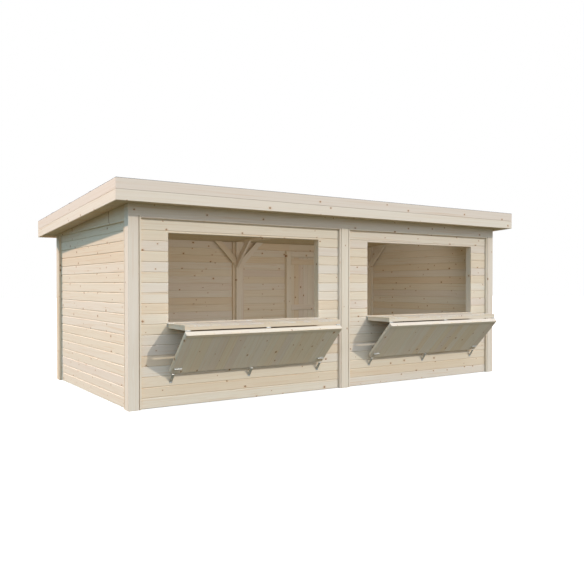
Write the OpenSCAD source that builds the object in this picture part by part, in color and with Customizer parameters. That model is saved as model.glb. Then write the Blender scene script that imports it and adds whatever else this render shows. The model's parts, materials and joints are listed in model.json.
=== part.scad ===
// Timber market stall, three metres deep and six wide: a post and beam frame filled with tongue and
// groove wall panels, a mono-pitch roof boxed in by fascia boards, a door in the back wall and two
// serving openings.  Under each opening a two-leaf hatch folds down: its upper leaf is the counter,
// and its lower leaf leans back to the wall as a strut.

/* [Frame] */
// Width over the posts
stall_w = 6000; // [5000:10:7200]
// Depth over the posts
stall_d = 3000; // [2400:10:3600]
// Side of each square post
post_w = 120; // [100:1:144]
// Length of a knee brace along the post and along the beam
brace_leg = 435; // [300:5:500]
// Width of a knee brace
brace_w = 95; // [60:1:110]
// Thickness of a knee brace
brace_t = 40; // [30:1:44]

/* [Walls] */
// Rows of boards in a wall
board_rows = 18; // [18:1:20]
// Height that one board covers
board_cover = 117; // [114:0.5:141]
// Thickness of the wall boards
board_t = 20; // [16:1:24]
// Setback of the boards from the posts' outer faces
wall_setback = 30; // [26:1:36]
// Gap under the lowest board
ground_gap = 4; // [2:1:10]
// Width of the trim battens beside the posts and under the beams
trim_w = 20; // [15:1:30]
// Setback of the trim battens from the posts' outer faces
trim_setback = 1; // [1:1:14]
// Groove between the upright trim battens and the posts
trim_gap = 9; // [4:1:14]
// Height of the ripped board over the last full row at the front
front_rise = 35; // [20:1:50]
// Width of the battens inside the walls
batten_w = 45; // [30:1:60]
// Clearance between the battens and the knee braces
batten_clear = 2; // [1:0.5:5]

/* [Roof] */
// Fall of the roof towards the back, in degrees
roof_pitch = 3.16; // [1:0.02:4]
// Overhang past the side walls
side_overhang = 204; // [120:1:300]
// Overhang past the front
front_overhang = 203; // [120:1:300]
// Overhang past the back
back_overhang = 229; // [120:1:300]
// Height of one of the two fascia boards
fascia_board_h = 116; // [100:1:130]
// Gap between the two fascia boards
fascia_gap = 2; // [2:0.5:4]
// Thickness of the fascia boards
fascia_t = 20; // [16:1:26]
// Height of the soffit's underside above the fascia's lower edge
soffit_lift = 12; // [8:1:20]
// Thickness of the soffit boards
soffit_t = 18; // [12:1:22]
// Thickness of the roof boards
deck_t = 20; // [16:1:24]
// Thickness of the roof covering
felt_t = 4; // [3:0.5:6]
// Width of a joist
joist_w = 60; // [40:1:80]
// Number of joists
joist_count = 11; // [8:1:14]

/* [Serving openings] */
// Width of a serving opening
opening_w = 2104; // [1600:1:2240]
// Height of a serving opening
opening_h = 1019; // [840:1:1060]
// Height of the wall over a serving opening
opening_head = 135; // [110:1:170]
// Width of the framing timber round an opening
lining_w = 40; // [30:1:60]
// Depth of the framing timber round an opening
lining_t = 80; // [60:1:90]

/* [Hatches] */
// How far each end of a hatch laps over the wall beside the opening
hatch_lap = 6; // [4:1:12]
// How far a closed hatch laps over the wall above the opening
hatch_top_lap = 54; // [30:1:70]
// Height of the sill over the counter
sill_step = 8; // [6:1:20]
// Distance of the counter's front edge from the wall boards
counter_reach = 452; // [370:1:480]
// Thickness of the hatch boards
leaf_board_t = 20; // [16:1:22]
// Thickness of the battens behind the hatch boards
leaf_batten_t = 35; // [25:1:40]
// Clearance between the folding leaf's foot and the wall boards
foot_clear = 28.5; // [20:0.5:40]
// Width of the battens in the hatch frames
leaf_batten_w = 60; // [40:1:80]

/* [Door] */
// Width of the door
door_w = 800; // [700:1:900]
// Height of the wall over the doorway
door_head = 220; // [170:1:280]
// Width of the door frame's timber
door_frame_w = 95; // [60:1:110]
// Depth of the door frame's timber
door_frame_t = 60; // [40:1:80]
// Gap round the door
door_gap = 5; // [5:0.5:8]
// Thickness of the ledges inside the door
ledge_t = 25; // [20:1:28]
// Height of a ledge
ledge_h = 95; // [70:1:120]

/* [Hidden] */
$fn = 48;

pine = [0.87, 0.81, 0.71];
pale_pine = [0.92, 0.87, 0.78];
shaded_pine = [0.72, 0.66, 0.55];
felt_grey = [0.42, 0.42, 0.42];
zinc = [0.72, 0.72, 0.70];

// Frame lines.  x is measured from the middle of the stall, y from the front posts' outer faces.
half_w = stall_w / 2;
inner_x = half_w - post_w;
inner_y = stall_d - post_w;
half_post = post_w / 2;
bay_w = inner_x - half_post;
bay_x = half_post + bay_w / 2;
wall_top = ground_gap + board_rows * board_cover;
front_top = wall_top + front_rise;
board_in = wall_setback + board_t;
batten_t = post_w - board_in - brace_t - batten_clear;
head_h = wall_top - opening_head;
sill_h = head_h - opening_h;
doorway_h = wall_top - door_head;
timber_gap = 1;

// Roof planes, as heights over a place y
fall = tan(roof_pitch);
fascia_h = 2 * fascia_board_h + fascia_gap;
function soffit_z(y) = wall_top + (stall_d - y) * fall;
function fascia_z(y) = soffit_z(y) - soffit_lift;
// Sloping layers lie this far apart
roof_seat = 0.2;
function beam_z(y) = soffit_z(y) - roof_seat;
roof_x = half_w + side_overhang;
roof_y0 = -front_overhang;
roof_y1 = stall_d + back_overhang;

// Hatch lines.  The counter turns about counter_y, counter_z and the flap about fold_y, fold_z.
hatch_half = opening_w / 2 + hatch_lap;
leaf_t = leaf_board_t + leaf_batten_t;
counter_z = sill_h - sill_step;
closed_gap = 6;
counter_y = wall_setback - closed_gap;
counter_back = counter_y - closed_gap;
counter_front = wall_setback - counter_reach;
edge_gap = 5;
fold_drop = 6;
fold_y = counter_front - edge_gap;
fold_z = counter_z - leaf_t - fold_drop;
flap_l = opening_h + hatch_top_lap + sill_step - (counter_y - fold_y) - edge_gap;
flap_reach = sqrt(pow(edge_gap + flap_l, 2) + pow(fold_drop, 2));
flap_angle = acos((wall_setback - foot_clear - fold_y) / flap_reach)
  - atan(fold_drop / (edge_gap + flap_l));
strip_w = 38;
strip_t = 4;
strip_inset = 10;
strip_seat = 0.2;
knuckle_gap = 0.3;
pin_r = 5.5;
fold_knuckle = 10;
fold_plate = 30;
fold_plate_t = 3;
fold_plate_l = 45;
fold_neck = 13;
wall_pin_r = 4;
wall_knuckle = 20;
wall_plate = 40;
wall_plate_h = 40;
wall_plate_t = 2.5;
hinge_neck = 10;
hinge_inset = 34;
foot_y = fold_y + (edge_gap + flap_l) * cos(flap_angle) - (fold_drop + leaf_t) * sin(flap_angle);
foot_z = fold_z - (edge_gap + flap_l) * sin(flap_angle) - (fold_drop + leaf_t) * cos(flap_angle);
hinge_xs = [-hatch_half + hinge_inset, 0, hatch_half - hinge_inset];

// Door lines, in the back wall's right bay
door_x0 = bay_x - door_w / 2;
door_x1 = bay_x + door_w / 2;
door_z0 = 15;
door_out = stall_d - wall_setback;
door_in = door_out - board_t;
door_pin_r = 6;
door_pin_x = door_x1 + door_gap / 2;
door_pin_y = door_out + door_pin_r + 1;
door_knuckle = 18;
door_knuckle_end = 12;
door_plate = 50;
door_plate_t = 3;
door_plate_inset = 4;
strap_l = 330;
handle_inset = 70;
handle_z = 1135;
handle_plate = [40, 4, 180];
handle_r = 9;
handle_out = 45;
handle_l = 120;
ledge_inset = 20;

// The origin is on the ground under the middle of the stall's whole outline
front_edge = fold_y + edge_gap * cos(flap_angle) - (fold_drop + leaf_t + strip_t) * sin(flap_angle);
origin_y = (front_edge + roof_y1) / 2;

module placed() {
  translate([0, -origin_y, 0]) children();
}

// A block between two opposite corners
module block(low, high) {
  translate(low) cube(high - low);
}

// An outline in y and z, drawn out from x0 to x1
module along_x(x0, x1, outline) {
  translate([x0, 0, 0]) rotate([90, 0, 90]) linear_extrude(x1 - x0) polygon(outline);
}

// A round bar along x
module bar_x(x0, x1, r) {
  translate([x0, 0, 0]) rotate([0, 90, 0]) cylinder(h = x1 - x0, r = r);
}

module both_sides() {
  children();
  mirror([1, 0, 0]) children();
}

// A layer of the roof between two heights over the fascia's lower edge
module roof_layer(x0, x1, y0, y1, low, high) {
  along_x(x0, x1, [
    [y0, fascia_z(y0) + low], [y1, fascia_z(y1) + low],
    [y1, fascia_z(y1) + high], [y0, fascia_z(y0) + high],
  ]);
}

// Posts and beams
module front_posts() color(pine) placed()
  for (x = [-half_w, -half_post, inner_x])
    block([x, 0, 0], [x + post_w, post_w, front_top]);

module back_posts() color(pine) placed()
  for (x = [-half_w, -half_post, inner_x])
    along_x(x, x + post_w, [
      [inner_y, 0], [stall_d, 0], [stall_d, beam_z(stall_d)], [inner_y, beam_z(inner_y)],
    ]);

module front_beam() color(pine) placed()
  along_x(-half_w, half_w, [
    [0, front_top], [post_w, front_top], [post_w, beam_z(post_w)], [0, beam_z(0)],
  ]);

module wedge(x0, x1) {
  along_x(x0, x1, [
    [post_w, wall_top], [inner_y, wall_top], [inner_y, beam_z(inner_y)], [post_w, beam_z(post_w)],
  ]);
}

module side_plates() color(pine) placed() both_sides() wedge(inner_x, half_w);

module cross_beam() color(shaded_pine) placed() wedge(-half_post, half_post);

// Roof
module roof_soffit() color(shaded_pine) placed()
  roof_layer(-roof_x + fascia_t, roof_x - fascia_t, roof_y0 + fascia_t, roof_y1 - fascia_t,
    soffit_lift, soffit_lift + soffit_t);

module roof_joists() color(pine) placed() {
  span = 2 * (roof_x - fascia_t) - joist_w;
  for (i = [0:joist_count - 1]) {
    x = -roof_x + fascia_t + i * span / (joist_count - 1);
    roof_layer(x, x + joist_w, roof_y0 + fascia_t, roof_y1 - fascia_t,
      soffit_lift + soffit_t + roof_seat, fascia_h - deck_t - roof_seat);
  }
}

module roof_deck() color(pine) placed()
  roof_layer(-roof_x + fascia_t, roof_x - fascia_t, roof_y0 + fascia_t, roof_y1 - fascia_t,
    fascia_h - deck_t, fascia_h);

module roof_felt() color(felt_grey) placed()
  roof_layer(-roof_x, roof_x, roof_y0, roof_y1, fascia_h + roof_seat, fascia_h + roof_seat + felt_t);

module fascia(x0, x1, y0, y1) color(pale_pine) placed() {
  roof_layer(x0, x1, y0, y1, 0, fascia_board_h);
  roof_layer(x0, x1, y0, y1, fascia_board_h + fascia_gap, fascia_h);
}

module front_fascia() fascia(-roof_x, roof_x, roof_y0, roof_y0 + fascia_t);
module back_fascia() fascia(-roof_x, roof_x, roof_y1 - fascia_t, roof_y1);
module left_fascia() fascia(-roof_x, -roof_x + fascia_t, roof_y0 + fascia_t, roof_y1 - fascia_t);
module right_fascia() fascia(roof_x - fascia_t, roof_x, roof_y0 + fascia_t, roof_y1 - fascia_t);

// Walls
module front_wall(middle) color(pine) placed()
  difference() {
    block([middle - bay_w / 2, wall_setback, ground_gap], [middle + bay_w / 2, board_in, front_top]);
    block([middle - opening_w / 2, 0, sill_h], [middle + opening_w / 2, post_w, head_h]);
  }

module front_left_wall() front_wall(-bay_x);
module front_right_wall() front_wall(bay_x);

module side_wall() {
  block([inner_x + post_w - board_in, post_w, ground_gap], [half_w - wall_setback, inner_y, wall_top]);
}

module right_wall() color(pine) placed() side_wall();
module left_wall() color(pine) placed() mirror([1, 0, 0]) side_wall();

// A stretch of the back wall from x0 to x1, upwards from z0
module back_wall(x0, x1, z0) color(pine) placed()
  along_x(x0, x1, [
    [door_in, z0], [door_out, z0], [door_out, beam_z(door_out)], [door_in, beam_z(door_in)],
  ]);

module back_left_wall() back_wall(-inner_x, -half_post, ground_gap);
module wall_left_of_door() back_wall(half_post, door_x0 - door_gap, ground_gap);
module wall_right_of_door() back_wall(door_x1 + door_gap, inner_x, ground_gap);
module wall_over_door() back_wall(door_x0 - door_gap, door_x1 + door_gap, doorway_h);

// Framing timber round a serving opening, behind the boards
module opening_frame(middle) color(pine) placed() {
  far = board_in + lining_t;
  half = opening_w / 2;
  for (side = [-1, 1]) {
    x = middle + side * (half + lining_w / 2);
    block([x - lining_w / 2, board_in, ground_gap], [x + lining_w / 2, far, front_top]);
  }
  for (z = [sill_h - lining_w, head_h])
    block([middle - half + timber_gap, board_in, z], [middle + half - timber_gap, far, z + lining_w]);
}

module left_opening_frame() opening_frame(-bay_x);
module right_opening_frame() opening_frame(bay_x);

module door_frame() color(pine) placed() {
  near = door_in - door_frame_t;
  edge = door_w / 2 + door_gap;
  for (side = [-1, 1]) {
    x = bay_x + side * (edge + door_frame_w / 2);
    block([x - door_frame_w / 2, near, ground_gap],
      [x + door_frame_w / 2, door_in, doorway_h + door_frame_w]);
  }
  block([bay_x - edge + timber_gap, near, doorway_h],
    [bay_x + edge - timber_gap, door_in, doorway_h + door_frame_w]);
}

// Battens outside: two uprights and a head in each bay
module bay_trim(length, top) {
  side = trim_gap + trim_w;
  for (x = [trim_gap, length - side])
    block([x, trim_setback, ground_gap], [x + trim_w, wall_setback, top]);
  block([side + timber_gap, trim_setback, top - trim_w], [length - side - timber_gap, wall_setback, top]);
}

module wall_trim() color(pale_pine) placed() {
  for (x = [-inner_x, half_post]) {
    translate([x, 0, 0]) bay_trim(bay_w, front_top);
    translate([x + bay_w, stall_d, 0]) rotate(180) bay_trim(bay_w, wall_top);
  }
  translate([half_w, post_w, 0]) rotate(90) bay_trim(inner_y - post_w, wall_top);
  translate([-half_w, inner_y, 0]) rotate(-90) bay_trim(inner_y - post_w, wall_top);
}

// Battens inside: an upright beside each post
module bay_battens(length) {
  for (x = [0, length - batten_w])
    block([x, board_in, ground_gap], [x + batten_w, board_in + batten_t, wall_top]);
}

module wall_battens() color(pine) placed() {
  for (x = [-inner_x, half_post]) {
    translate([x, 0, 0]) bay_battens(bay_w);
    translate([x + bay_w, stall_d, 0]) rotate(180) bay_battens(bay_w);
  }
  translate([half_w, post_w, 0]) rotate(90) bay_battens(inner_y - post_w);
  translate([-half_w, inner_y, 0]) rotate(-90) bay_battens(inner_y - post_w);
}

// A knee brace in the corner under a level beam: it runs out along x from a post at x = 0
module brace(top) {
  step = brace_w * sqrt(2);
  rotate([90, 0, 0]) linear_extrude(brace_t)
    polygon([[0, top - brace_leg], [brace_leg, top], [brace_leg - step, top], [0, top - brace_leg + step]]);
}

// The back braces run on up to the roof, which cuts them off
brace_rise = 30;
module back_braces() color(shaded_pine) placed()
  intersection() {
    both_sides() {
      translate([half_post, inner_y + brace_t, 0]) brace(wall_top + brace_rise);
      translate([inner_x, inner_y + brace_t, 0]) mirror([1, 0, 0]) brace(wall_top + brace_rise);
    }
    along_x(-half_w, half_w, [
      [0, 0], [stall_d, 0], [stall_d, beam_z(stall_d)], [0, beam_z(0)],
    ]);
  }

// The two braces of one frame that runs from front to back, with its middle at x
module frame_braces(x) {
  translate([x - brace_t / 2, post_w, 0]) rotate(90) brace(wall_top);
  translate([x + brace_t / 2, inner_y, 0]) rotate(-90) brace(wall_top);
}

module side_braces() color(shaded_pine) placed()
  both_sides() frame_braces(inner_x + brace_t / 2);

// The middle frame's braces lie flush with one side of the posts
module cross_braces() color(shaded_pine) placed() frame_braces((brace_t - post_w) / 2);

// Wall side of a counter's hinge: a plate on the boards and the two outer knuckles
module counter_wall_hinge() {
  plate_out = wall_setback - wall_plate_t;
  neck_z = counter_z - hinge_neck;
  block([-wall_plate, plate_out, counter_z - wall_plate_h], [wall_plate, wall_setback, neck_z]);
  both_sides() {
    block([wall_knuckle + knuckle_gap, plate_out, neck_z - 1], [wall_plate, wall_setback, counter_z]);
    translate([0, counter_y, counter_z]) bar_x(wall_knuckle + knuckle_gap, wall_plate, wall_pin_r);
  }
}

// Wall side of a door hinge: a plate on the boards and the knuckles over and under the door's
module door_wall_hinge() {
  far = door_knuckle + door_knuckle_end;
  plate_x = door_x1 + door_gap + door_plate_inset;
  for (side = [0, 1]) mirror([0, 0, side]) {
    block([door_pin_x, door_out, door_knuckle + knuckle_gap],
      [plate_x + 1, door_out + door_plate_t, far]);
    translate([door_pin_x, door_pin_y, door_knuckle + knuckle_gap])
      cylinder(h = far - door_knuckle - knuckle_gap, r = door_pin_r);
  }
  block([plate_x, door_out, -far], [plate_x + door_plate, door_out + door_plate_t, far]);
}

module wall_hinges() color(zinc) placed() {
  for (middle = [-bay_x, bay_x])
    for (x = hinge_xs) translate([middle + x, 0, 0]) counter_wall_hinge();
  for (z = strap_zs) translate([0, 0, z]) door_wall_hinge();
}

// Straps on the wall that take the flap's foot: a rolled eye, a sloping leaf with a hole, a foot plate
catch_half = 18;
catch_t = 4;
catch_eye_r = 7;
catch_hole_r = 6;
catch_hole_up = 30;
catch_y = foot_y + 5;
catch_z = foot_z - 13;
catch_drop = 90;
catch_low = catch_z - catch_drop;
catch_foot = 14;
module foot_catch() {
  difference() {
    union() {
      along_x(-catch_half, catch_half, [
        [catch_y + catch_t / 2, catch_z], [wall_setback, catch_low], [wall_setback, catch_low - catch_foot],
        [wall_setback - catch_t, catch_low - catch_foot], [wall_setback - catch_t, catch_low],
        [catch_y - catch_t / 2, catch_z],
      ]);
      translate([0, catch_y, catch_z]) bar_x(-catch_half, catch_half, catch_eye_r);
    }
    translate([0, wall_setback - catch_t, catch_low + catch_hole_up])
      rotate([90, 0, 0]) cylinder(h = wall_setback - catch_y, r = catch_hole_r);
  }
}

module foot_catches() color(zinc) placed()
  for (middle = [-bay_x, bay_x])
    for (x = hinge_xs) translate([middle + x, 0, 0]) foot_catch();

// Door
module door_boards() color(pine) placed()
  block([door_x0, door_in, door_z0], [door_x1, door_out, doorway_h - door_gap]);

ledge_zs = [230, 930, doorway_h - 140];
module door_ledges() color(shaded_pine) placed()
  for (z = ledge_zs)
    block([door_x0 + ledge_inset, door_in - ledge_t, z], [door_x1 - ledge_inset, door_in, z + ledge_h]);

strap_zs = [for (z = [ledge_zs[0], ledge_zs[2]]) z + ledge_h / 2];
module door_hardware() color(zinc) placed() {
  for (z = strap_zs) {
    block([door_x1 - strap_l, door_out, z - door_knuckle],
      [door_pin_x, door_out + door_plate_t, z + door_knuckle]);
    translate([door_pin_x, door_pin_y, z - door_knuckle]) cylinder(h = 2 * door_knuckle, r = door_pin_r);
  }
  translate([door_x0 + handle_inset, door_out + handle_plate.y / 2, handle_z]) cube(handle_plate, center = true);
  translate([door_x0 + handle_inset, door_out, handle_z]) {
    rotate([-90, 0, 0]) cylinder(h = handle_out + handle_r - 2, r = handle_r);
    translate([0, handle_out, 0]) bar_x(0, handle_l, handle_r);
  }
}

// Hatches.  x is measured from the middle of the hatch.
module leaf_frame(y0, y1, z0, z1) {
  block([-hatch_half, y0, z0], [hatch_half, y0 + leaf_batten_w, z1]);
  block([-hatch_half, y1 - leaf_batten_w, z0], [hatch_half, y1, z1]);
  for (i = [0:3]) {
    x = -hatch_half + i * (2 * hatch_half - leaf_batten_w) / 3;
    block([x, y0 + leaf_batten_w + timber_gap, z0],
      [x + leaf_batten_w, y1 - leaf_batten_w - timber_gap, z1]);
  }
}

module at_flap() {
  translate([0, fold_y, fold_z]) rotate([-flap_angle, 0, 0]) children();
}

module counter_boards() {
  block([-hatch_half, counter_front, counter_z - leaf_board_t], [hatch_half, counter_back, counter_z]);
}

module counter_battens() {
  leaf_frame(counter_front, counter_back, counter_z - leaf_t, counter_z - leaf_board_t);
}

module counter_hinges() {
  under = counter_z - leaf_t;
  neck_z = counter_z - hinge_neck;
  plate_in = counter_back + wall_plate_t;
  for (x = hinge_xs) translate([x, 0, 0]) {
    block([-wall_plate, counter_back, counter_z - wall_plate_h], [wall_plate, plate_in, neck_z]);
    block([-wall_knuckle, counter_back, neck_z - 1], [wall_knuckle, plate_in, counter_z]);
    translate([0, counter_y, counter_z]) bar_x(-wall_knuckle, wall_knuckle, wall_pin_r);
    block([-fold_knuckle, fold_y, under - fold_plate_t], [fold_knuckle, fold_y + fold_neck, under]);
    block([-fold_plate, fold_y + fold_neck - 1, under - fold_plate_t],
      [fold_plate, fold_y + fold_plate_l, under]);
    translate([0, fold_y, fold_z]) bar_x(-fold_knuckle, fold_knuckle, pin_r);
  }
}

module flap_boards() {
  face = -fold_drop - leaf_t;
  strip_half = opening_w / 2 - strip_inset;
  at_flap() {
    block([-hatch_half, edge_gap, face], [hatch_half, edge_gap + flap_l, face + leaf_board_t]);
    block([-strip_half, edge_gap, face - strip_t], [strip_half, edge_gap + strip_w, face - strip_seat]);
  }
}

module flap_battens() {
  at_flap() leaf_frame(edge_gap, edge_gap + flap_l, -fold_drop - leaf_batten_t, -fold_drop);
}

// A barrel bolt on the flap's face: a back plate, the bolt along it and a knob
bolt_l = 100;
bolt_w = 30;
bolt_plate_t = 2;
bolt_r = 6;
bolt_end = 4;
knob_r = 4;
knob_out = 12;
knob_inset = 16;
bolt_up = 74;
bolt_inset = 12;
module barrel_bolt() {
  translate([0, -bolt_w / 2, -bolt_plate_t]) cube([bolt_l, bolt_w, bolt_plate_t]);
  translate([0, 0, -bolt_plate_t - bolt_r]) bar_x(bolt_end, bolt_l - bolt_end, bolt_r);
  translate([bolt_l - knob_inset, 0, -knob_out]) cylinder(h = knob_out - bolt_plate_t - 2, r = knob_r);
}

module flap_hardware() {
  face = -fold_drop - leaf_t;
  bolt_y = edge_gap + flap_l - bolt_up;
  at_flap() {
    for (x = hinge_xs) translate([x, 0, 0]) {
      both_sides() {
        bar_x(fold_knuckle + knuckle_gap, fold_plate, pin_r);
        block([fold_knuckle + knuckle_gap, 0, -fold_drop],
          [fold_plate, fold_neck, -fold_drop + fold_plate_t]);
      }
      block([-fold_plate, fold_neck - 1, -fold_drop],
        [fold_plate, fold_plate_l, -fold_drop + fold_plate_t]);
    }
    both_sides() translate([-opening_w / 2 + bolt_inset, bolt_y, face]) barrel_bolt();
  }
}

module hatch(middle) {
  placed() translate([middle, 0, 0]) children();
}

module left_counter() color(pale_pine) hatch(-bay_x) counter_boards();
module left_counter_battens() color(pine) hatch(-bay_x) counter_battens();
module left_counter_hinges() color(zinc) hatch(-bay_x) counter_hinges();
module left_flap() color(pale_pine) hatch(-bay_x) flap_boards();
module left_flap_battens() color(pine) hatch(-bay_x) flap_battens();
module left_flap_hardware() color(zinc) hatch(-bay_x) flap_hardware();
module right_counter() color(pale_pine) hatch(bay_x) counter_boards();
module right_counter_battens() color(pine) hatch(bay_x) counter_battens();
module right_counter_hinges() color(zinc) hatch(bay_x) counter_hinges();
module right_flap() color(pale_pine) hatch(bay_x) flap_boards();
module right_flap_battens() color(pine) hatch(bay_x) flap_battens();
module right_flap_hardware() color(zinc) hatch(bay_x) flap_hardware();

front_posts();
back_posts();
front_beam();
side_plates();
cross_beam();
roof_soffit();
roof_joists();
roof_deck();
roof_felt();
front_fascia();
back_fascia();
left_fascia();
right_fascia();
front_left_wall();
front_right_wall();
left_wall();
right_wall();
back_left_wall();
wall_left_of_door();
wall_right_of_door();
wall_over_door();
left_opening_frame();
right_opening_frame();
door_frame();
wall_trim();
wall_battens();
back_braces();
side_braces();
cross_braces();
wall_hinges();
foot_catches();
door_boards();
door_ledges();
door_hardware();
left_counter();
left_counter_battens();
left_counter_hinges();
left_flap();
left_flap_battens();
left_flap_hardware();
right_counter();
right_counter_battens();
right_counter_hinges();
right_flap();
right_flap_battens();
right_flap_hardware();
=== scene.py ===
# A timber market stall: real boards, planed timbers, roofing felt and zinc fittings round the fixed frame
import json
import math
import random

import bmesh
import bpy
from mathutils import Matrix, Vector

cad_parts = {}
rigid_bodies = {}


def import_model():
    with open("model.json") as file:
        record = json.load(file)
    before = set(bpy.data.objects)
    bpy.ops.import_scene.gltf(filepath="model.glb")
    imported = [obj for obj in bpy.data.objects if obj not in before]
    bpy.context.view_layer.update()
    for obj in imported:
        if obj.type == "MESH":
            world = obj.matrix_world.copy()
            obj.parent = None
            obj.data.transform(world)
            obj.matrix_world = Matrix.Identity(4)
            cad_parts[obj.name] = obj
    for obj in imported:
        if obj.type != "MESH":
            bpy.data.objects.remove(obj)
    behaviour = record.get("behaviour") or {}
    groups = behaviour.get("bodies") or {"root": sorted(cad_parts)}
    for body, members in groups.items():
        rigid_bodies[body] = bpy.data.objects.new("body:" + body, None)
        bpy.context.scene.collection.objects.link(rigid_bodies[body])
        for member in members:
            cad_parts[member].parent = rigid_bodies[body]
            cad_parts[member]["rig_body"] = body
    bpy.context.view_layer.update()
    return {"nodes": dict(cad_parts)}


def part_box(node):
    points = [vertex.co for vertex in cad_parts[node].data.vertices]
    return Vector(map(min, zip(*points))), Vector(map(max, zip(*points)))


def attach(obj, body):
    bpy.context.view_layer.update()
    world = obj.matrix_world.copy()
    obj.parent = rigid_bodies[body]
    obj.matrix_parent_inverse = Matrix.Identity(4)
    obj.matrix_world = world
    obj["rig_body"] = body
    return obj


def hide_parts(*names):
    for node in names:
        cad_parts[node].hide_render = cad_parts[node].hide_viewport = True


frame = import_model()
cadNodes = frame["nodes"]
up = Vector((0, 0, 1))
print("frame loaded:", len(cadNodes), "nodes")


# camera, light and floor

studio = {
    "eye": (-5.502, -8.3041, 1.387),
    "pitch": 89.355,
    "turn": -33.859,
    "lens": 40.505,
    "warmSun": {"travel": (1.0, -1.8, -1.07), "power": 3.9, "colour": (1.0, 0.76, 0.62), "spread": 1.2},
    "frontSun": {"travel": (-0.54, 1.0, -0.72), "power": 1.3, "colour": (1.0, 0.95, 0.85), "spread": 1.0},
    "sky": (1.05, 1.11, 1.27),
    "sideSky": (0.55, 0.9, 1.16),
    "ground": (0.16, 0.16, 0.11),
    "fill": {
        "place": (0.2, -0.7, 2.0),
        "tilt": 60,
        "size": (4.2, 0.8),
        "power": 20.5,
        "colour": (1.0, 0.98, 0.98),
    },
    "floorGlow": 0.45,
    "floorReach": 60,
}


def setCamera():
    lens = bpy.data.cameras.new("stallCamera")
    lens.lens = studio["lens"]
    camera = bpy.data.objects.new("stallCamera", lens)
    camera.location = studio["eye"]
    camera.rotation_euler = (math.radians(studio["pitch"]), 0, math.radians(studio["turn"]))
    bpy.context.collection.objects.link(camera)
    bpy.context.scene.camera = camera


def setSun(name, sun):
    lamp = bpy.data.lights.new(name, "SUN")
    lamp.energy = sun["power"]
    lamp.color = sun["colour"]
    lamp.angle = math.radians(sun["spread"])
    holder = bpy.data.objects.new(name, lamp)
    holder.rotation_euler = Vector(sun["travel"]).to_track_quat("-Z", "Y").to_euler()
    bpy.context.collection.objects.link(holder)


def setFill(fill):
    # a soft lamp under the roof, which looks to the back wall
    lamp = bpy.data.lights.new("roomFill", "AREA")
    lamp.shape = "RECTANGLE"
    lamp.size, lamp.size_y = fill["size"]
    lamp.energy = fill["power"]
    lamp.color = fill["colour"]
    holder = bpy.data.objects.new("roomFill", lamp)
    holder.location = fill["place"]
    holder.rotation_euler = (math.radians(fill["tilt"]), 0, 0)
    holder.visible_camera = False
    holder.visible_glossy = False
    bpy.context.collection.objects.link(holder)


def setSky():
    # a cool sky over a dull ground lights the stall, and the backdrop itself stays white
    world = bpy.data.worlds.new("studioWorld")
    world.use_nodes = True
    bpy.context.scene.world = world
    tree = world.node_tree
    tree.nodes.clear()
    place = tree.nodes.new("ShaderNodeTexCoord")
    split = tree.nodes.new("ShaderNodeSeparateXYZ")
    around = tree.nodes.new("ShaderNodeValToRGB")
    around.color_ramp.elements[0].position = 0.05
    around.color_ramp.elements[0].color = (*studio["sideSky"], 1)
    around.color_ramp.elements[1].position = 0.45
    around.color_ramp.elements[1].color = (*studio["sky"], 1)
    turn = tree.nodes.new("ShaderNodeMapRange")
    turn.inputs["From Min"].default_value = -1.0
    height = tree.nodes.new("ShaderNodeMapRange")
    height.inputs["From Min"].default_value = -0.02
    height.inputs["From Max"].default_value = 0.1
    ramp = tree.nodes.new("ShaderNodeMix")
    ramp.data_type = "RGBA"
    ramp.inputs[6].default_value = (*studio["ground"], 1)
    glow = tree.nodes.new("ShaderNodeBackground")
    white = tree.nodes.new("ShaderNodeBackground")
    white.inputs["Color"].default_value = (1, 1, 1, 1)
    ray = tree.nodes.new("ShaderNodeLightPath")
    choose = tree.nodes.new("ShaderNodeMixShader")
    out = tree.nodes.new("ShaderNodeOutputWorld")
    links = tree.links
    links.new(place.outputs["Generated"], split.inputs[0])
    links.new(split.outputs["X"], turn.inputs[0])
    links.new(turn.outputs[0], around.inputs[0])
    links.new(split.outputs["Z"], height.inputs[0])
    links.new(height.outputs[0], ramp.inputs[0])
    links.new(around.outputs["Color"], ramp.inputs[7])
    links.new(ramp.outputs[2], glow.inputs["Color"])
    links.new(ray.outputs["Is Camera Ray"], choose.inputs[0])
    links.new(glow.outputs[0], choose.inputs[1])
    links.new(white.outputs[0], choose.inputs[2])
    links.new(choose.outputs[0], out.inputs["Surface"])


def setFloor():
    side = studio["floorReach"]
    corners = [(-side, -side, 0), (side, -side, 0), (side, side, 0), (-side, side, 0)]
    mesh = bpy.data.meshes.new("paleFloor")
    mesh.from_pydata(corners, [], [(0, 1, 2, 3)])
    floor = bpy.data.objects.new("paleFloor", mesh)
    bpy.context.collection.objects.link(floor)
    floor.visible_diffuse = False
    floor.visible_glossy = False
    paint = bpy.data.materials.new("floorPaint")
    paint.use_nodes = True
    shader = paint.node_tree.nodes["Principled BSDF"]
    shader.inputs["Base Color"].default_value = (0.86, 0.86, 0.85, 1)
    shader.inputs["Roughness"].default_value = 0.9
    shader.inputs["Emission Color"].default_value = (1, 1, 1, 1)
    shader.inputs["Emission Strength"].default_value = studio["floorGlow"]
    mesh.materials.append(paint)


setCamera()
setSun("warmSun", studio["warmSun"])
setSun("frontSun", studio["frontSun"])
setFill(studio["fill"])
setSky()
setFloor()
bpy.context.scene.view_settings.view_transform = "Standard"
print("studio ready")


# materials

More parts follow.
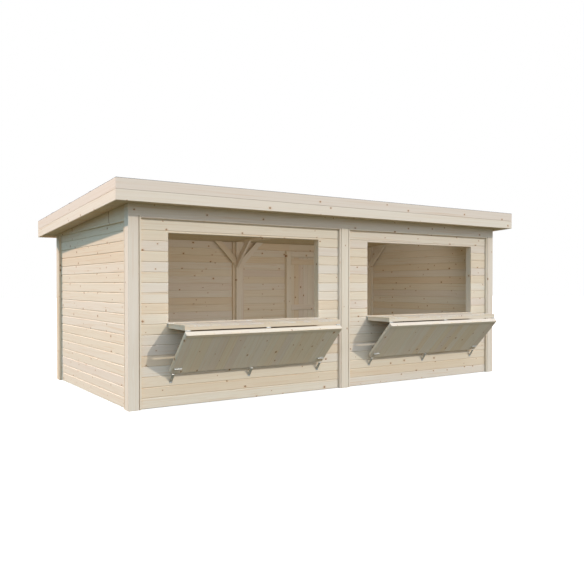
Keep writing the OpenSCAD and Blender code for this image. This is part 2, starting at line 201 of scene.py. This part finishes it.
class Graph:
    # a material's node tree, with short ways to add a node and to do sums
    def __init__(self, name):
        self.material = bpy.data.materials.new(name)
        self.material.use_nodes = True
        self.tree = self.material.node_tree
        self.shader = self.tree.nodes["Principled BSDF"]

    def wire(self, source, socket):
        if isinstance(source, bpy.types.NodeSocket):
            self.tree.links.new(source, socket)
        else:
            socket.default_value = source

    def add(self, kind, sockets, **settings):
        node = self.tree.nodes.new(kind)
        for key, value in settings.items():
            setattr(node, key, value)
        for key, source in sockets.items():
            self.wire(source, node.inputs[key])
        return node

    def sum(self, operation, *values):
        node = self.add("ShaderNodeMath", dict(enumerate(values)), operation=operation)
        return node.outputs[0]

    def vector(self, operation, *values):
        node = self.add("ShaderNodeVectorMath", dict(enumerate(values)), operation=operation)
        return node.outputs["Value" if operation == "LENGTH" else "Vector"]

    def ease(self, value, low, high):
        # 0 below low and 1 above high
        sockets = {"Value": value, "From Min": low, "From Max": high}
        return self.add("ShaderNodeMapRange", sockets, interpolation_type="SMOOTHSTEP").outputs[0]

    def noise(self, place, scale, detail=2.0):
        sockets = {"Vector": place, "Scale": scale, "Detail": detail}
        return self.add("ShaderNodeTexNoise", sockets).outputs["Fac"]

    def blend(self, share, first, second, mode="MIX"):
        node = self.add("ShaderNodeMix", {0: share, 6: first, 7: second}, data_type="RGBA", blend_type=mode)
        return node.outputs[2]


def colour(r, g, b):
    return (r, g, b, 1.0)


def timber(name, look):
    # sawn from logs: growth rings, long streaks, knots, and boards that differ in tone
    g = Graph(name)
    place = g.add("ShaderNodeAttribute", {}, attribute_name="grain").outputs["Vector"]
    tone = g.add("ShaderNodeAttribute", {}, attribute_name="tone").outputs["Fac"]

    # knots lie in a loose grid over each board, and knotShare of its cells hold one
    cell = Vector(look["knotCells"])
    flat = g.vector("MULTIPLY", place, (cell.x, cell.y, 0))
    layer = g.add("ShaderNodeCombineXYZ", {2: g.sum("MULTIPLY", tone, 917.0)}).outputs[0]  # each board's own
    lifted = g.vector("ADD", flat, layer)
    knots = g.add("ShaderNodeTexVoronoi", {"Vector": lifted, "Scale": 1.0})
    offset = g.vector("SUBTRACT", lifted, knots.outputs["Position"])
    away = g.vector("LENGTH", g.vector("MULTIPLY", offset, (0.8 / cell.x, 1 / cell.y, 0)))
    luck = g.add("ShaderNodeSeparateColor", {0: knots.outputs["Color"]})
    size = g.sum("MULTIPLY_ADD", luck.outputs[1], look["knotSpread"], look["knotSize"])
    present = g.sum("GREATER_THAN", luck.outputs[0], 1 - look["knotShare"])
    reach = g.sum("DIVIDE", away, size)
    heart = g.sum("MULTIPLY", present, g.ease(reach, 1.1, 0.85))
    rim = g.sum("MULTIPLY", heart, g.ease(reach, 0.55, 0.95))
    halo = g.sum("MULTIPLY", present, g.ease(reach, 3.2, 0.9))

    # growth rings round the pith, which bend about the knots
    wobble = g.noise(g.vector("MULTIPLY", place, (1.3, 9.0, 9.0)), 1.0)
    pith = g.vector("LENGTH", g.vector("MULTIPLY", place, (0, 1, 1)))
    bent = g.sum("MULTIPLY_ADD", halo, 0.004, g.sum("MULTIPLY_ADD", wobble, 0.03, pith))
    wave = g.sum("SINE", g.sum("MULTIPLY", bent, 2 * math.pi / look["ringGap"]))
    late = g.ease(wave, -0.2, 1.0)

    # streaks along the board, softer patches and fine fibre
    streak = g.noise(g.vector("MULTIPLY", place, (0.9, 55.0, 55.0)), 1.0, 3.0)
    patch = g.noise(g.vector("MULTIPLY", place, (0.7, 7.0, 7.0)), 1.0)
    fibre = g.noise(g.vector("MULTIPLY", place, (14.0, 900.0, 900.0)), 1.0)

    dark = g.sum("ADD", g.sum("MULTIPLY", late, 0.35), g.sum("MULTIPLY", g.ease(streak, 0.4, 0.8), 0.5))
    wood = g.blend(g.sum("MULTIPLY", dark, look["figure"]), colour(*look["pale"]), colour(*look["dark"]))
    wood = g.blend(g.ease(patch, 0.35, 0.75), wood, g.blend(0.35, wood, colour(*look["blush"])))
    # some boards have long tan bands
    tan = g.noise(g.vector("MULTIPLY", lifted, (0.5, 7.0, 1.0)), 1.0, 1.0)
    wood = g.blend(g.sum("MULTIPLY", g.ease(tan, 0.6, 0.74), look["tanShare"]), wood, colour(*look["tan"]))
    tints = g.add("ShaderNodeValToRGB", {"Fac": tone})
    tints.color_ramp.elements.new(0.35)
    tints.color_ramp.elements.new(0.7)
    for stop, tint in zip(tints.color_ramp.elements, look["tints"]):
        stop.color = colour(*tint)
    wood = g.blend(look["boardSpread"], wood, tints.outputs["Color"], "MULTIPLY")
    wood = g.blend(g.sum("MULTIPLY", halo, 0.4), wood, colour(*look["knotTint"]))
    wood = g.blend(g.sum("MULTIPLY", heart, 0.85), wood, colour(*look["knotHeart"]))
    wood = g.blend(g.sum("MULTIPLY", rim, 0.8), wood, colour(*look["knotRim"]))
    g.wire(wood, g.shader.inputs["Base Color"])

    rough = g.sum("MULTIPLY_ADD", fibre, 0.2, g.sum("MULTIPLY_ADD", heart, -0.15, look["roughness"]))
    g.wire(rough, g.shader.inputs["Roughness"])
    g.shader.inputs["Specular IOR Level"].default_value = 0.25
    raised = g.sum("MULTIPLY_ADD", fibre, 0.5, g.sum("MULTIPLY", heart, 0.6))
    relief = g.sum("ADD", g.sum("MULTIPLY", late, 0.4), raised)
    bump = g.add("ShaderNodeBump", {"Height": relief, "Strength": 0.35, "Distance": 0.0004})
    g.wire(bump.outputs[0], g.shader.inputs["Normal"])
    return g.material


pineLook = {
    "pale": (0.85, 0.765, 0.645),
    "dark": (0.75, 0.6, 0.44),
    "blush": (0.84, 0.71, 0.59),
    "tints": [(0.95, 0.9, 0.89), (1, 1, 1), (1, 0.97, 0.9), (0.97, 0.88, 0.76)],
    "tan": (0.74, 0.55, 0.37),
    "tanShare": 0.45,
    "knotTint": (0.72, 0.45, 0.24),
    "knotHeart": (0.36, 0.17, 0.07),
    "knotRim": (0.12, 0.06, 0.03),
    "knotCells": (2.4, 6.5),
    "knotSize": 0.0032,
    "knotSpread": 0.008,
    "knotShare": 0.8,
    "ringGap": 0.006,
    "figure": 0.7,
    "boardSpread": 0.9,
    "roughness": 0.52,
}
fasciaLook = dict(pineLook, pale=(0.85, 0.765, 0.655), knotCells=(1.1, 5.0))
# counters and flaps get a darker copy of the pine: the lower pale tone is painted shade for flaps that face
# down into shadow; the stronger figure and fewer tan bands are the boards' own grain
hatchShadedLook = dict(pineLook, pale=(0.79, 0.715, 0.6), figure=1.0, tanShare=0.3)
# the roof lining and the inside parts get a darker, browner copy of the pine: partly a browner board, partly
# painted shade for the shaded underside of the roof
innerShadeAndTintLook = dict(pineLook, pale=(0.68, 0.57, 0.41), dark=(0.52, 0.4, 0.26), roughness=0.7)
innerShadeAndTintLook["blush"] = (0.58, 0.46, 0.33)


def feltSheet(name):
    # bitumen felt with a mineral face
    g = Graph(name)
    place = g.add("ShaderNodeTexCoord", {}).outputs["Object"]
    grit = g.noise(place, 900.0, 1.0)
    stain = g.noise(place, 2.2, 4.0)
    face = g.blend(g.ease(grit, 0.35, 0.65), colour(0.12, 0.12, 0.125), colour(0.36, 0.36, 0.36))
    face = g.blend(g.sum("MULTIPLY", stain, 0.5), face, colour(0.26, 0.255, 0.24))
    g.wire(face, g.shader.inputs["Base Color"])
    g.shader.inputs["Roughness"].default_value = 0.92
    bump = g.add("ShaderNodeBump", {"Height": grit, "Strength": 0.6, "Distance": 0.001})
    g.wire(bump.outputs[0], g.shader.inputs["Normal"])
    return g.material


def zincPlate(name):
    # zinc plated steel with a faint spangle and small scuffs
    g = Graph(name)
    place = g.add("ShaderNodeTexCoord", {}).outputs["Object"]
    spangle = g.add("ShaderNodeTexVoronoi", {"Vector": place, "Scale": 160.0}).outputs["Color"]
    scuff = g.noise(place, 75.0, 5.0)
    shade = g.add("ShaderNodeSeparateColor", {0: spangle}).outputs[0]
    mixed = g.sum("ADD", g.sum("MULTIPLY", shade, 0.4), g.sum("MULTIPLY", scuff, 0.6))
    g.wire(g.blend(mixed, colour(0.5, 0.5, 0.48), colour(0.82, 0.82, 0.8)), g.shader.inputs["Base Color"])
    g.wire(g.sum("MULTIPLY_ADD", scuff, 0.35, 0.25), g.shader.inputs["Roughness"])
    g.shader.inputs["Metallic"].default_value = 0.85
    bump = g.add("ShaderNodeBump", {"Height": scuff, "Strength": 0.15, "Distance": 0.0003})
    g.wire(bump.outputs[0], g.shader.inputs["Normal"])
    return g.material


finishes = {
    "pine": timber("spruceBoards", pineLook),
    "fascia_pine": timber("fasciaBoards", fasciaLook),
    "hatch_pine": timber("hatchBoardsShaded", hatchShadedLook),
    "inner_pine": timber("innerBoardsShadeAndTint", innerShadeAndTintLook),
    "felt": feltSheet("mineralFelt"),
    "zinc": zincPlate("zincPlate"),
}
print("finishes mixed:", len(finishes))


# building boards and timbers


class Pile:
    # timber pieces gathered into one mesh, each with its own place in the log it was sawn from
    def __init__(self, name, seed):
        self.name = name
        self.dice = random.Random(seed)
        self.points, self.faces, self.grain, self.tone = [], [], [], []
        self.freshLog()

    def freshLog(self):
        roll = self.dice.uniform
        self.log = Vector((roll(0, 40), roll(-0.09, 0.02), roll(0.015, 0.06)))
        self.shade = self.dice.random()

    def addSolid(self, points, faces, grain):
        first = len(self.points)
        self.points += points
        self.grain += [p + self.log for p in grain]
        self.tone += [self.shade] * len(points)
        self.faces += [[first + i for i in face] for face in faces]

    def addBoard(self, outline, length, place):
        # outline goes round the board's section, across and through, and the board runs along its own x
        grain = [Vector((x, a, b)) for x in (0, length) for a, b in outline]
        n = len(outline)
        faces = [[i, (i + 1) % n, (i + 1) % n + n, i + n] for i in range(n)]
        faces += [list(range(n))[::-1], list(range(n, 2 * n))]
        self.addSolid([place @ p for p in grain], faces, grain)

    def addBar(self, low, high, along, ease):
        # an upright or level bar between two corners, with its four long edges eased
        normal = Vector((0, 1, 0)) if along.z else Vector((0, 0, 1))
        size = high - low
        wide, deep = size.dot(normal.cross(along)), size.dot(normal)
        outline = [(ease, 0), (wide - ease, 0), (wide, ease), (wide, deep - ease)]
        outline += [(wide - ease, deep), (ease, deep), (0, deep - ease), (0, ease)]
        self.freshLog()
        self.addBoard(outline, size.dot(along), boardPlace(low, along, normal))

    def build(self, body, slot, replaced):
        mesh = bpy.data.meshes.new(self.name)
        mesh.from_pydata(self.points, [], self.faces)
        grain = mesh.attributes.new("grain", "FLOAT_VECTOR", "POINT")
        grain.data.foreach_set("vector", [c for p in self.grain for c in p])
        tone = mesh.attributes.new("tone", "FLOAT", "POINT")
        tone.data.foreach_set("value", self.tone)
        work = bmesh.new()
        work.from_mesh(mesh)
        bmesh.ops.recalc_face_normals(work, faces=work.faces)
        work.to_mesh(mesh)
        work.free()
        mesh.materials.append(finishes[slot])
        piece = bpy.data.objects.new(self.name, mesh)
        bpy.context.collection.objects.link(piece)
        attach(piece, body)
        if replaced:
            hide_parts(*replaced)


def boardPlace(corner, along, normal):
    # a board's own axes: x along it, y across it and z out of its face
    across = normal.cross(along)
    turn = Matrix((along, across, normal)).transposed().to_4x4()
    return Matrix.Translation(corner) @ turn


def clipOutline(outline, low, high):
    # what is left of a section between two heights across it
    for limit, sign in ((low, 1), (high, -1)):
        kept = []
        for (a, b), (c, d) in zip(outline, outline[1:] + outline[:1]):
            here, there = sign * (a - limit), sign * (c - limit)
            if here >= 0:
                kept.append((a, b))
            if here * there < 0:
                t = here / (here - there)
                kept.append((limit, b + t * (d - b)))
        outline = kept
    return outline


wallJoint = {"face": 0.0042, "slit": 0.0026, "back": 0.0045, "tongue": 0.0065, "play": 0.0004}
hatchJoint = {"face": 0.0008, "slit": 0.0002, "back": 0.003, "tongue": 0.006, "play": 0.0002}
doorJoint = {"face": 0.004, "slit": 0.001, "back": 0.0025, "tongue": 0.006, "play": 0.0003}


def tongueBoard(cover, thick, joint):
    # section of a tongue and groove board: v joint on the face, a smaller one on the back
    v, s, w, t, c = joint["face"], joint["slit"], joint["back"], joint["tongue"], joint["play"]
    lowCheek, highCheek = thick * 0.36, thick * 0.64
    return [
        (s, thick - v), (s + v, thick), (cover - s - v, thick), (cover - s, thick - v),
        (cover - s, highCheek), (cover + t, highCheek), (cover + t, lowCheek), (cover - c, lowCheek),
        (cover - c, w), (cover - w, 0), (w, 0), (c, w), (c, lowCheek - c), (t + 2 * c, lowCheek - c),
        (t + 2 * c, highCheek + c), (s, highCheek + c),
    ]


def middleOf(group):
    total = Vector()
    for vert in group:
        total += vert.co
    return tuple(round(c, 4) for c in total / len(group))


def facesOf(group):
    # the faces round a solid, always in the same order
    return sorted({f for v in group for f in v.link_faces}, key=lambda f: f.index)


def skinOf(group):
    return sum(round(f.calc_area(), 5) for f in facesOf(group))


def islands(node):
    # the separate solids of a frame node, each welded and with its flat faces whole
    work = bmesh.new()
    work.from_mesh(cadNodes[node].data)
    bmesh.ops.remove_doubles(work, verts=work.verts, dist=0.00002)
    bmesh.ops.dissolve_limit(work, angle_limit=0.02, verts=work.verts, edges=work.edges)
    for parts in (work.verts, work.edges, work.faces):
        parts.index_update()
    left, found = set(work.verts), []
    while left:
        stack, group = [left.pop()], []
        while stack:
            vert = stack.pop()
            group.append(vert)
            for edge in vert.link_edges:
                other = edge.other_vert(vert)
                if other in left:
                    left.remove(other)
                    stack.append(other)
        found.append(sorted(group, key=lambda v: v.index))
    found.sort(key=middleOf)
    return work, found


def timberAxes(group):
    # along a timber's longest edge, and out of its widest face
    edges = sorted({e for v in group for e in v.link_edges}, key=lambda e: e.index)
    longest = max(edges, key=lambda e: round(e.calc_length(), 5))
    along = (longest.verts[1].co - longest.verts[0].co).normalized()
    sides = [f for f in facesOf(group) if abs(f.normal.dot(along)) < 0.1]
    widest = max(sides, key=lambda f: round(f.calc_area(), 6))
    return along, widest.normal.copy()


def timbersFrom(name, node, slot, ease, seed):
    # planed timbers in the place of a node's plain solids, with eased edges and grain along each
    work, groups = islands(node)
    pile = Pile(name, seed)
    for group in groups:
        along, normal = timberAxes(group)
        single = bmesh.new()
        copies = {v: single.verts.new(v.co) for v in group}
        for face in facesOf(group):
            single.faces.new([copies[v] for v in face.verts])
        bmesh.ops.recalc_face_normals(single, faces=single.faces)
        bmesh.ops.bevel(single, geom=single.edges, offset=ease, segments=2, profile=0.6, affect="EDGES")
        single.verts.index_update()
        points = [v.co.copy() for v in single.verts]
        corner = min(points, key=lambda p: (round(p.dot(along), 5), p.x + p.y + p.z))
        home = boardPlace(corner, along, normal).inverted()
        pile.freshLog()
        pile.addSolid(points, [[v.index for v in f.verts] for f in single.faces], [home @ p for p in points])
        single.free()
    work.free()
    pile.build(cadNodes[node]["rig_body"], slot, [node])


# frame timbers

timbers = {
    "cornerPostsFront": ("front_posts", "pine", 0.004),
    "cornerPostsBack": ("back_posts", "pine", 0.004),
    "headBeam": ("front_beam", "pine", 0.003),
    "wallPlates": ("side_plates", "pine", 0.003),
    "middleBeam": ("cross_beam", "pine", 0.003),
    "fasciaFront": ("front_fascia", "fascia_pine", 0.0025),
    "fasciaBack": ("back_fascia", "fascia_pine", 0.0025),
    "fasciaLeft": ("left_fascia", "fascia_pine", 0.0025),
    "fasciaRight": ("right_fascia", "fascia_pine", 0.0025),
    "openingTimbersLeft": ("left_opening_frame", "pine", 0.002),
    "openingTimbersRight": ("right_opening_frame", "pine", 0.002),
    "doorFrame": ("door_frame", "pine", 0.003),
    "outerBattens": ("wall_trim", "pine", 0.002),
    "innerBattens": ("wall_battens", "pine", 0.002),
    "kneeBracesBack": ("back_braces", "pine", 0.004),
    "kneeBracesSide": ("side_braces", "pine", 0.004),
    "kneeBracesMiddle": ("cross_braces", "pine", 0.004),
    "doorLedges": ("door_ledges", "pine", 0.003),
    "counterBattensLeft": ("left_counter_battens", "hatch_pine", 0.002),
    "counterBattensRight": ("right_counter_battens", "hatch_pine", 0.002),
    "flapBattensLeft": ("left_flap_battens", "hatch_pine", 0.002),
    "flapBattensRight": ("right_flap_battens", "hatch_pine", 0.002),
}
for seed, (name, (node, slot, ease)) in enumerate(timbers.items()):
    timbersFrom(name, node, slot, ease, seed)
print("timbers planed:", len(timbers))


# wall boards

wallRows = 18
wallLow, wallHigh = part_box("left_wall")
wallCover = (wallHigh.z - wallLow.z) / wallRows
walls = {
    "boardsFrontLeft": ("front_left_wall", (0, -1, 0)),
    "boardsFrontRight": ("front_right_wall", (0, -1, 0)),
    "boardsLeft": ("left_wall", (-1, 0, 0)),
    "boardsRight": ("right_wall", (1, 0, 0)),
    "boardsBack": ("back_left_wall", (0, 1, 0)),
    "boardsLeftOfDoor": ("wall_left_of_door", (0, 1, 0)),
    "boardsRightOfDoor": ("wall_right_of_door", (0, 1, 0)),
    "boardsOverDoor": ("wall_over_door", (0, 1, 0)),
}


def openingIn(node, along):
    # the edges of a node's opening, along the wall and up, or nothing
    low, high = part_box(node)
    lows, highs = sorted((low.dot(along), high.dot(along)))
    inner = [v.co for v in cadNodes[node].data.vertices if lows + 0.01 < v.co.dot(along) < highs - 0.01]
    if not inner:
        return None
    reach = [p.dot(along) for p in inner]
    heights = [p.z for p in inner]
    return min(reach), max(reach), min(heights), max(heights)


def layWall(name, node, facing, seed):
    normal = Vector(facing)
    along = up.cross(normal)
    low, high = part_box(node)
    start, end = sorted((low.dot(along), high.dot(along)))
    back = min(low.dot(normal), high.dot(normal))  # plane of the boards' backs
    thick = abs((high - low).dot(normal))
    opening = openingIn(node, along)
    pile = Pile(name, seed)
    rows = math.ceil((high.z - wallLow.z - 0.01) / wallCover)  # a ripped board may close the top
    for row in range(rows):
        foot = wallLow.z + row * wallCover
        top = high.z - foot if row == rows - 1 else wallCover + wallJoint["tongue"]
        bottom = max(0, low.z - foot)
        if bottom >= wallCover:
            continue
        outline = tongueBoard(wallCover, thick, wallJoint)
        if row == rows - 1:
            outline = tongueBoard(top + wallJoint["slit"], thick, wallJoint)
        spans = [(start, end, bottom, top)]
        if opening and opening[2] < foot + wallCover and opening[3] > foot:
            spans = [(start, opening[0], bottom, top), (opening[1], end, bottom, top)]
            if opening[2] > foot + 0.001:
                spans.append((opening[0], opening[1], bottom, opening[2] - foot))
            if opening[3] < foot + wallCover - 0.001:
                spans.append((opening[0], opening[1], opening[3] - foot, top))
        pile.freshLog()
        for left, right, under, over in spans:
            section = clipOutline(outline, under, over)
            place = boardPlace(along * left + normal * back + up * foot, along, normal)
            shift = pile.log.copy()
            pile.log.x += left - start
            pile.addBoard(section, right - left, place)
            pile.log = shift
    pile.build("stall", "pine", [node])


for seed, (name, (node, facing)) in enumerate(walls.items()):
    layWall(name, node, facing, 100 + seed)
print("walls boarded:", len(walls))


# roof: lining boards, felt in lapped sheets

roof = {"liningCover": 0.096, "sheetWidth": 0.92, "lap": 0.08, "feltThick": 0.004, "lapRamp": 0.012}


def slopeOf(node):
    # the two lower corners of a sloping slab at its left end, front then back
    low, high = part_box(node)
    points = [v.co for v in cadNodes[node].data.vertices]
    front = min((p for p in points if p.y < low.y + 0.001), key=lambda p: (round(p.z, 4), p.x)).copy()
    back = min((p for p in points if p.y > high.y - 0.001), key=lambda p: (round(p.z, 4), p.x)).copy()
    return front, back, high.x - low.x


def lineRoof():
    front, back, width = slopeOf("roof_soffit")
    down = (back - front).normalized()
    normal = down.cross(Vector((1, 0, 0)))
    span = (back - front).length
    thick = (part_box("roof_soffit")[1].z - front.z) * -normal.z
    count = round(span / roof["liningCover"])
    cover = span / count
    pile = Pile("roofLining", 200)
    for row in range(count):
        pile.freshLog()
        foot = front + down * (row * cover) - normal * thick
        # boards lie face down, so they run from the right to the left end
        place = boardPlace(foot + Vector((width, 0, 0)), Vector((-1, 0, 0)), normal)
        limit = cover if row == count - 1 else 2 * cover  # the last board has no tongue
        pile.addBoard(clipOutline(tongueBoard(cover, thick, wallJoint), 0, limit), width, place)
    pile.build("stall", "inner_pine", ["roof_soffit"])


def layFelt():
    front, back, width = slopeOf("roof_felt")
    down = (back - front).normalized()
    normal = Vector((1, 0, 0)).cross(down)
    span = (back - front).length
    thick, ramp = roof["feltThick"], roof["lapRamp"]
    count = math.ceil(span / roof["sheetWidth"])
    step = span / count
    pile = Pile("feltSheets", 210)
    for row in range(count):
        # each sheet laps over the next one down the slope
        low, high = row * step, (row + 1) * step
        if row == count - 1:
            outline = [(low, 0), (high, 0), (high, thick), (low, thick)]
        else:
            tail = high + roof["lap"]
            outline = [
                (low, 0), (high - ramp, 0), (high, thick + 0.0003), (tail, thick + 0.0003),
                (tail, 2 * thick), (high, 2 * thick), (high - ramp, thick), (low, thick),
            ]
        place = boardPlace(front, Vector((1, 0, 0)), normal)
        pile.addBoard(outline, width, place)
    pile.build("stall", "felt", ["roof_felt"])


lineRoof()
layFelt()
print("roof lined and covered")


# hatches and door

hatch = {"boards": 19}
door = {"boards": 8, "frameGap": 0.005}
door.update(beadDeep=0.016, beadLap=0.007, beadGap=0.0015, beadEase=0.002)


def widestBox(node):
    # the largest solid of a node as a corner and three edges: longest, middle and shortest
    work, groups = islands(node)
    group = max(groups, key=skinOf)
    corner = min(group, key=lambda v: (round(v.co.x, 4), round(v.co.y, 4), round(v.co.z, 4)))
    edges = [e.other_vert(corner).co - corner.co for e in corner.link_edges]
    edges.sort(key=lambda e: -e.length)
    result = corner.co.copy(), [e.copy() for e in edges]
    work.free()
    return result


def boardField(pile, corner, along, across, out, count, joint):
    # a field of boards side by side: each runs along, and the faces look the way of out
    normal = out.normalized()
    direction = along.normalized()
    side = normal.cross(direction)
    if side.dot(across) < 0:
        corner = corner + across
    cover = across.length / count
    for number in range(count):
        pile.freshLog()
        last = number == count - 1
        outline = clipOutline(tongueBoard(cover, out.length, joint), 0, cover if last else 2 * cover)
        pile.addBoard(outline, along.length, boardPlace(corner + side * (number * cover), direction, normal))


def layCounter(side):
    node = side + "_counter"
    corner, (wide, deep, thick) = widestBox(node)
    pile = Pile(side + "CounterBoards", 300 + len(side))
    if thick.z < 0:
        corner, thick = corner + thick, thick * -1
    boardField(pile, corner, deep, wide, thick, hatch["boards"], hatchJoint)
    pile.build(node, "hatch_pine", [node])


def layFlap(side):
    node = side + "_flap"
    corner, (wide, deep, thick) = widestBox(node)
    if thick.y > 0:  # the face looks forwards and down
        corner, thick = corner + thick, thick * -1
    if deep.z > 0:
        corner, deep = corner + deep, deep * -1
    pile = Pile(side + "FlapBoards", 320 + len(side))
    boardField(pile, corner, deep, wide, thick, hatch["boards"], hatchJoint)
    work, groups = islands(node)
    strip = min(groups, key=skinOf)
    along, normal = timberAxes(strip)
    points = [v.co.copy() for v in strip]
    order = {v: i for i, v in enumerate(strip)}
    faces = [[order[v] for v in f.verts] for f in facesOf(strip)]
    home = boardPlace(points[0], along, normal).inverted()
    pile.freshLog()
    pile.addSolid(points, faces, [home @ p for p in points])
    work.free()
    pile.build(node, "hatch_pine", [node])


def layDoor():
    low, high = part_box("door_boards")
    size = high - low
    pile = Pile("doorBoards", 340)
    wide, thick = Vector((size.x, 0, 0)), Vector((0, size.y, 0))
    boardField(pile, low, up * size.z, wide, thick, door["boards"], doorJoint)
    pile.build("door", "pine", ["door_boards"])


def stopDoor():
    # beads on the door frame that the leaf closes against
    low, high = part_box("door_boards")
    lap, gap, ease = door["beadLap"], door["frameGap"], door["beadEase"]
    back, face = low.y - door["beadGap"] - door["beadDeep"], low.y - door["beadGap"]
    foot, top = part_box("door_frame")[0].z, high.z + gap
    left, right, head = low.x + lap, high.x - lap, high.z - lap
    pile = Pile("doorStops", 350)
    pile.addBar(Vector((low.x - gap, back, foot)), Vector((left, face, top)), up, ease)
    pile.addBar(Vector((right, back, foot)), Vector((high.x + gap, face, top)), up, ease)
    pile.addBar(Vector((left, back, head)), Vector((right, face, top)), Vector((1, 0, 0)), ease)
    pile.build("stall", "pine", [])


for side in ("left", "right"):
    layCounter(side)
    layFlap(side)
layDoor()
stopDoor()
print("hatches and door boarded")


# nails

nails = {"radius": 0.0032, "proud": 0.0004, "inset": 0.022, "sides": 8}
nails.update(edgeDrop=0.013, edgeRadius=0.0042)


class Heads:
    # round heads gathered into one mesh
    def __init__(self, name):
        self.name, self.points, self.faces = name, [], []

    def add(self, centre, normal, radius):
        side = normal.orthogonal().normalized()
        other = normal.cross(side)
        first = len(self.points)
        sides, proud = nails["sides"], nails["proud"]
        rings = [(1.0, -0.001), (1.0, proud * 0.6), (0.75, proud)]  # share of the radius, height
        for share, height in rings:
            for i in range(sides):
                turn = 2 * math.pi * i / sides
                spoke = side * math.cos(turn) + other * math.sin(turn)
                self.points.append(centre + spoke * radius * share + normal * height)
        for ring in range(len(rings) - 1):
            for i in range(sides):
                a, b = first + ring * sides + i, first + ring * sides + (i + 1) % sides
                self.faces.append((a, b, b + sides, a + sides))
        last = first + (len(rings) - 1) * sides
        self.faces.append([last + i for i in range(sides)])
        self.faces.append([first + i for i in range(sides)][::-1])

    def build(self, body):
        mesh = bpy.data.meshes.new(self.name)
        mesh.from_pydata(self.points, [], self.faces)
        mesh.materials.append(finishes["zinc"])
        piece = bpy.data.objects.new(self.name, mesh)
        bpy.context.collection.objects.link(piece)
        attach(piece, body)


def nailWalls():
    # two heads to a board beside each post and each opening
    heads = Heads("wallNails")
    inset = nails["inset"]
    for node, facing in walls.values():
        normal = Vector(facing)
        along = up.cross(normal)
        low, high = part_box(node)
        start, end = sorted((low.dot(along), high.dot(along)))
        face = max(low.dot(normal), high.dot(normal))
        opening = openingIn(node, along)
        lines = [start + inset + 0.02, end - inset - 0.02]
        if opening:
            lines += [opening[0] - inset, opening[1] + inset]
        for row in range(wallRows):
            for share in (0.25, 0.75):
                z = wallLow.z + (row + share) * wallCover
                if not low.z + 0.02 < z < high.z - 0.02:
                    continue
                for line in lines:
                    heads.add(along * line + normal * face + up * z, normal, nails["radius"])
    heads.build("stall")


def nailRow(name, body, middle, normal, pitch):
    # one head to a board of a hatch leaf
    heads = Heads(name)
    for number in range(hatch["boards"]):
        shift = (number + 0.5 - hatch["boards"] / 2) * pitch
        heads.add(middle + Vector((shift, 0, 0)), normal, nails["edgeRadius"])
    heads.build(body)


def nailHatches():
    # along the counter's front edge and along the strip on the flap
    for side in ("left", "right"):
        counter, flap = side + "_counter", side + "_flap"
        corner, (wide, deep, thick) = widestBox(counter)
        pitch = wide.length / hatch["boards"]
        front = min(corner.y, corner.y + deep.y)
        height = max(corner.z, corner.z + thick.z) - nails["edgeDrop"]
        middle = Vector((corner.x + wide.x / 2, front, height))
        nailRow(side + "CounterNails", counter, middle, Vector((0, -1, 0)), pitch)

        work, groups = islands(flap)
        strip = min(groups, key=skinOf)
        face = max(facesOf(strip), key=lambda f: round(f.calc_area() * -f.normal.y, 6))
        middle, normal = face.calc_center_median(), face.normal.copy()
        work.free()
        nailRow(side + "FlapNails", flap, middle, normal, pitch)


nailWalls()
nailHatches()


# fittings that stay as the frame has them

softEdge = {"width": 0.0006, "segments": 2, "sharperThan": 50}
zincWords = ("hinge", "catch", "hardware")

for name, node in cadNodes.items():
    if node.hide_render:
        continue
    slot = "zinc" if any(word in name for word in zincWords) else "inner_pine"
    node.data.materials.clear()
    node.data.materials.append(finishes[slot])
    if slot == "zinc":
        edge = node.modifiers.new("softEdges", "BEVEL")
        edge.width = softEdge["width"]
        edge.segments = softEdge["segments"]
        edge.limit_method = "ANGLE"
        edge.angle_limit = math.radians(softEdge["sharperThan"])
print("fittings finished")
